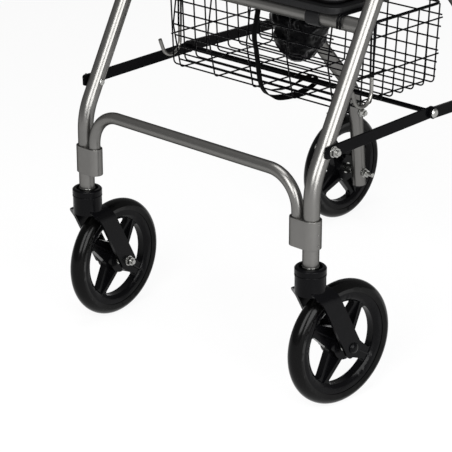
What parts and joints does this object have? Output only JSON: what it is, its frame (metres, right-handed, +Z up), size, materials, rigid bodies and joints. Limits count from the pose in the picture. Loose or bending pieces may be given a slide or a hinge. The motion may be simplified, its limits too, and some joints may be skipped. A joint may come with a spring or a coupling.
{
  "type": "four-wheeled rollator",
  "caption": "Four-wheeled walking frame with swivelling front wheels, folding rear legs, seat, wire basket, backrest and hand brakes.",
  "frame": {"origin": "on the floor under the middle of the overall box", "axes": "+Z up, +Y towards the rear wheels, +X to the side that the picture shows nearer"},
  "size_m": [0.569, 0.8019, 0.932],
  "materials": {
    "silver_paint": "satin",
    "black_paint": "gloss",
    "bright_steel": "satin",
    "plated_hook": "polished",
    "black_moulding": "gloss",
    "black_plastic": "matte",
    "brake_metal": "satin",
    "tyre_rubber": "satin",
    "grip_rubber": "matte",
    "seat_vinyl": "satin",
    "webbing": "woven",
    "bag_cloth": "crumpled"
  },
  "bodies": {
    "front_frame": {"front_leg_left": "silver_paint", "front_leg_right": "silver_paint", "crossbar": "silver_paint", "crossbar_brackets": "silver_paint", "seat_tube": "silver_paint", "caster_stems": "bright_steel", "caster_bearings": "bright_steel", "front_frame_bolts": "bright_steel", "handle_collars": "black_plastic", "backrest_hoop": "silver_paint", "backrest_pad": "grip_rubber", "pull_strap": "webbing"},
    "rear_frame": {"rear_leg_left": "silver_paint", "rear_leg_right": "silver_paint", "rear_leg_plugs": "black_plastic", "rear_frame_bolts": "bright_steel", "rear_spacers": "bright_steel", "rear_hub_bearings": "bright_steel", "brake_brackets": "brake_metal"},
    "struts_front": {"front_struts": "black_paint", "cross_rod": "black_paint"},
    "struts_rear": {"rear_struts": "black_paint", "knee_caps": "bright_steel"},
    "seat": {"seat_board": "black_plastic", "seat_cushion": "seat_vinyl", "seat_hinge_clips": "black_plastic"},
    "basket": {"basket_floor": "black_paint", "basket_ends": "black_paint", "basket_sides": "black_paint", "basket_frame": "black_paint", "carry_hooks": "plated_hook", "shopping_bag": "bag_cloth"},
    "caster_left": {"fork_left": "black_moulding", "caster_cap_left": "black_moulding", "front_axle_left": "bright_steel", "front_hub_bearings_left": "bright_steel"},
    "front_wheel_left": {"front_rim_left": "black_moulding", "front_tyre_left": "tyre_rubber"},
    "rear_wheel_left": {"rear_rim_left": "black_moulding", "rear_tyre_left": "tyre_rubber"},
    "brake_shoe_left": {"brake_shoe_left": "brake_metal"},
    "handle_left": {"handle_tube_left": "bright_steel", "grip_left": "grip_rubber", "lever_mount_left": "black_plastic"},
    "brake_lever_left": {"brake_lever_left": "brake_metal"},
    "handle_knob_left": {"handle_knob_left": "black_plastic"},
    "caster_right": {"fork_right": "black_moulding", "caster_cap_right": "black_moulding", "front_axle_right": "bright_steel", "front_hub_bearings_right": "bright_steel"},
    "front_wheel_right": {"front_rim_right": "black_moulding", "front_tyre_right": "tyre_rubber"},
    "rear_wheel_right": {"rear_rim_right": "black_moulding", "rear_tyre_right": "tyre_rubber"},
    "brake_shoe_right": {"brake_shoe_right": "brake_metal"},
    "handle_right": {"handle_tube_right": "bright_steel", "grip_right": "grip_rubber", "lever_mount_right": "black_plastic"},
    "brake_lever_right": {"brake_lever_right": "brake_metal"},
    "handle_knob_right": {"handle_knob_right": "black_plastic"}
  },
  "joints": [
    {"name": "fold", "type": "hinge", "parent": "front_frame", "child": "rear_frame", "pos_m": [0, -0.16158, 0.751], "axis": [-1, 0, 0], "range_deg": [0, 31], "deforming": ["pull_strap"]},
    {"name": "front_strut_swing", "type": "hinge", "parent": "front_frame", "child": "struts_front", "pos_m": [0, -0.33597, 0.416], "axis": [1, 0, 0], "range_deg": [0, 32.91]},
    {"name": "rear_strut_swing", "type": "hinge", "parent": "rear_frame", "child": "struts_rear", "pos_m": [0, 0.14255, 0.416], "axis": [-1, 0, 0], "range_deg": [0, 40.98]},
    {"name": "seat_flip", "type": "hinge", "parent": "front_frame", "child": "seat", "pos_m": [0, -0.2506, 0.58], "axis": [1, 0, 0], "range_deg": [0, 105]},
    {"name": "basket_lift", "type": "slide", "parent": "front_frame", "child": "basket", "axis": [0, 0, 1], "range_m": [0, 0.133]},
    {"name": "caster_swivel_left", "type": "hinge", "parent": "front_frame", "child": "caster_left", "pos_m": [-0.242, -0.362, 0.217], "axis": [0, 0, 1], "continuous": true},
    {"name": "front_wheel_spin_left", "type": "hinge", "parent": "caster_left", "child": "front_wheel_left", "pos_m": [-0.24626, -0.30115, 0.1], "axis": [0.9976, 0.0698, 0], "continuous": true},
    {"name": "rear_wheel_spin_left", "type": "hinge", "parent": "rear_frame", "child": "rear_wheel_left", "pos_m": [-0.259, 0.301, 0.1], "axis": [1, 0, 0], "continuous": true},
    {"name": "handle_height_left", "type": "slide", "parent": "front_frame", "child": "handle_left", "axis": [0, 0.4617, 0.887], "range_m": [0, 0.06]},
    {"name": "brake_lever_squeeze_left", "type": "hinge", "parent": "handle_left", "child": "brake_lever_left", "pos_m": [-0.242, -0.04101, 0.889], "axis": [1, 0, 0], "range_deg": [0, 12], "stiffness_Nm_per_rad": 1, "springref_deg": -8.59},
    {"name": "brake_shoe_swing_left", "type": "hinge", "parent": "rear_frame", "child": "brake_shoe_left", "pos_m": [-0.259, 0.317, 0.222], "axis": [1, 0, 0], "range_deg": [0, 3.6]},
    {"name": "handle_knob_turn_left", "type": "hinge", "parent": "front_frame", "child": "handle_knob_left", "pos_m": [-0.242, -0.09409, 0.82478], "axis": [0, 0.887, -0.4617], "continuous": true},
    {"name": "caster_swivel_right", "type": "hinge", "parent": "front_frame", "child": "caster_right", "pos_m": [0.242, -0.362, 0.217], "axis": [0, 0, 1], "continuous": true},
    {"name": "front_wheel_spin_right", "type": "hinge", "parent": "caster_right", "child": "front_wheel_right", "pos_m": [0.24838, -0.30133, 0.1], "axis": [0.9945, -0.1045, 0], "continuous": true},
    {"name": "rear_wheel_spin_right", "type": "hinge", "parent": "rear_frame", "child": "rear_wheel_right", "pos_m": [0.259, 0.301, 0.1], "axis": [1, 0, 0], "continuous": true},
    {"name": "handle_height_right", "type": "slide", "parent": "front_frame", "child": "handle_right", "axis": [0, 0.4617, 0.887], "range_m": [0, 0.06]},
    {"name": "brake_lever_squeeze_right", "type": "hinge", "parent": "handle_right", "child": "brake_lever_right", "pos_m": [0.242, -0.04101, 0.889], "axis": [1, 0, 0], "range_deg": [0, 12], "stiffness_Nm_per_rad": 1, "springref_deg": -8.59},
    {"name": "brake_shoe_swing_right", "type": "hinge", "parent": "rear_frame", "child": "brake_shoe_right", "pos_m": [0.259, 0.317, 0.222], "axis": [1, 0, 0], "range_deg": [0, 3.6]},
    {"name": "handle_knob_turn_right", "type": "hinge", "parent": "front_frame", "child": "handle_knob_right", "pos_m": [0.242, -0.09409, 0.82478], "axis": [0, 0.887, -0.4617], "continuous": true}
  ],
  "couplings": [
    {"joint": "front_strut_swing", "follows": "fold", "ratio": 1.0612},
    {"joint": "rear_strut_swing", "follows": "fold", "ratio": 1.3217},
    {"joint": "seat_flip", "follows": "fold", "ratio": 3.3864},
    {"joint": "basket_lift", "follows": "fold", "m_per_rad": 0.24563},
    {"joint": "brake_shoe_swing_left", "follows": "brake_lever_squeeze_left", "ratio": 0.2995},
    {"joint": "brake_shoe_swing_right", "follows": "brake_lever_squeeze_right", "ratio": 0.2995}
  ]
}
